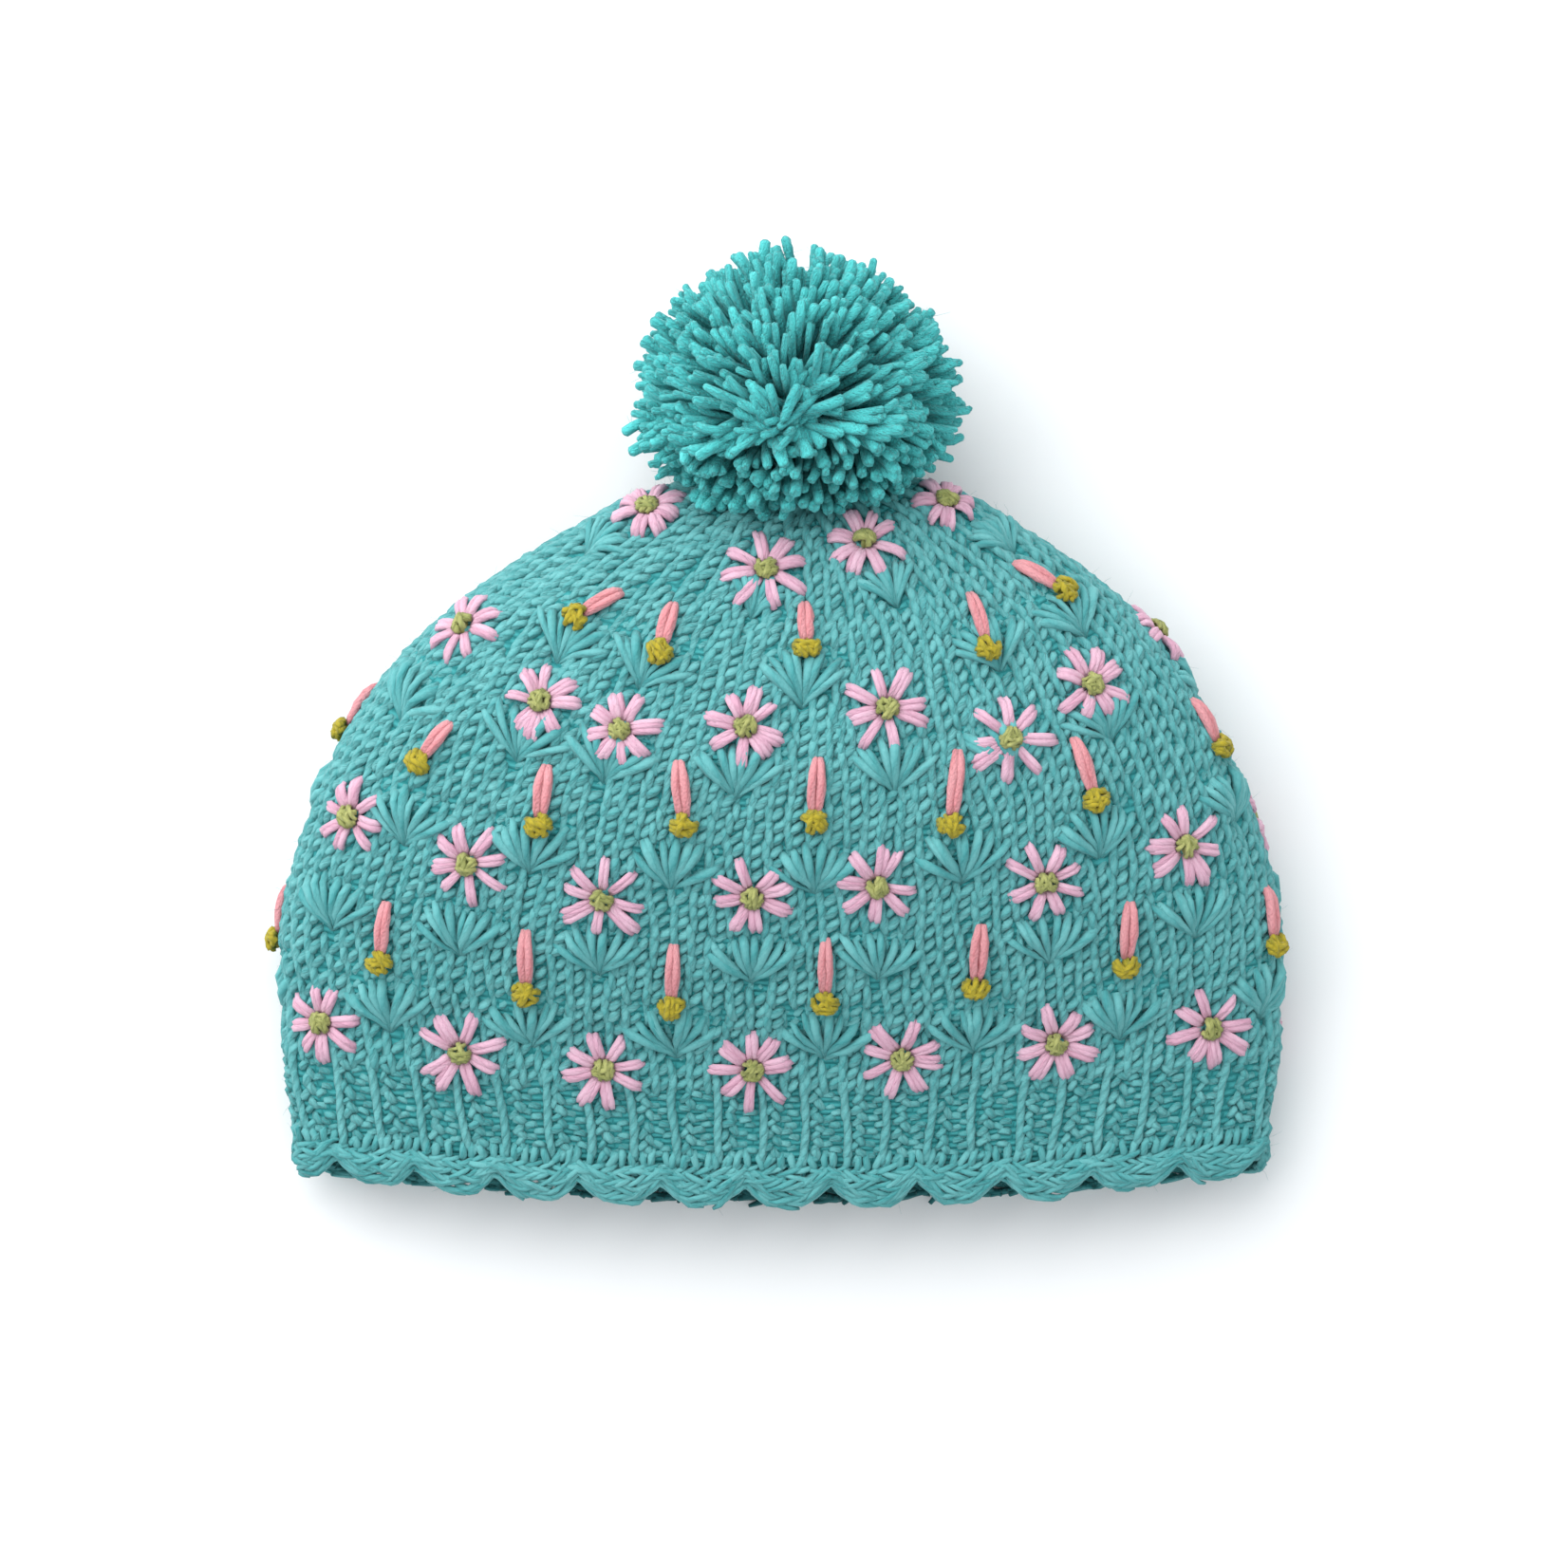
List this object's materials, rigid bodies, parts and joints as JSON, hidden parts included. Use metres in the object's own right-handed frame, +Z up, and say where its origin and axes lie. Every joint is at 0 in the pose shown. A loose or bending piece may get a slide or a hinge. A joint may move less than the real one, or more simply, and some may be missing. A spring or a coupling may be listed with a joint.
{
  "type": "pompom beanie",
  "caption": "Hand-knitted beanie lying on its back, with a domed crown, ribbed band, scalloped crocheted edge, embroidered daisies and buds, and a yarn pompom at the tip.",
  "frame": {"origin": "middle of the floor under the lying hat, pompom and edging included", "axes": "+Z up from the floor, +Y from the opening to the pompom, +X to the right seen from above"},
  "size_m": [0.2506, 0.2405, 0.0746],
  "materials": {
    "turquoise_yarn": "matte hand-knitted wool yarn",
    "pompom_yarn": "matte cut wool yarn",
    "pink_yarn": "soft embroidery wool",
    "coral_yarn": "soft embroidery wool"
  },
  "bodies": {
    "root": {"crown": "turquoise_yarn", "rib_band": "turquoise_yarn", "scalloped_edging": "turquoise_yarn", "pompom": "pompom_yarn", "daisy_01": "pink_yarn", "daisy_02": "pink_yarn", "daisy_03": "pink_yarn", "daisy_04": "pink_yarn", "daisy_05": "pink_yarn", "daisy_06": "pink_yarn", "daisy_07": "pink_yarn", "daisy_08": "pink_yarn", "daisy_09": "pink_yarn", "daisy_10": "pink_yarn", "daisy_11": "pink_yarn", "daisy_12": "pink_yarn", "daisy_13": "pink_yarn", "daisy_14": "pink_yarn", "daisy_15": "pink_yarn", "daisy_16": "pink_yarn", "daisy_17": "pink_yarn", "daisy_18": "pink_yarn", "daisy_19": "pink_yarn", "daisy_20": "pink_yarn", "daisy_21": "pink_yarn", "daisy_22": "pink_yarn", "daisy_23": "pink_yarn", "daisy_24": "pink_yarn", "daisy_25": "pink_yarn", "bud_01": "coral_yarn", "bud_02": "coral_yarn", "bud_03": "coral_yarn", "bud_04": "coral_yarn", "bud_05": "coral_yarn", "bud_06": "coral_yarn", "bud_07": "coral_yarn", "bud_08": "coral_yarn", "bud_09": "coral_yarn", "bud_10": "coral_yarn", "bud_11": "coral_yarn", "bud_12": "coral_yarn", "bud_13": "coral_yarn", "bud_14": "coral_yarn", "bud_15": "coral_yarn", "bud_16": "coral_yarn", "bud_17": "coral_yarn", "bud_18": "coral_yarn"}
  },
  "joints": []
}
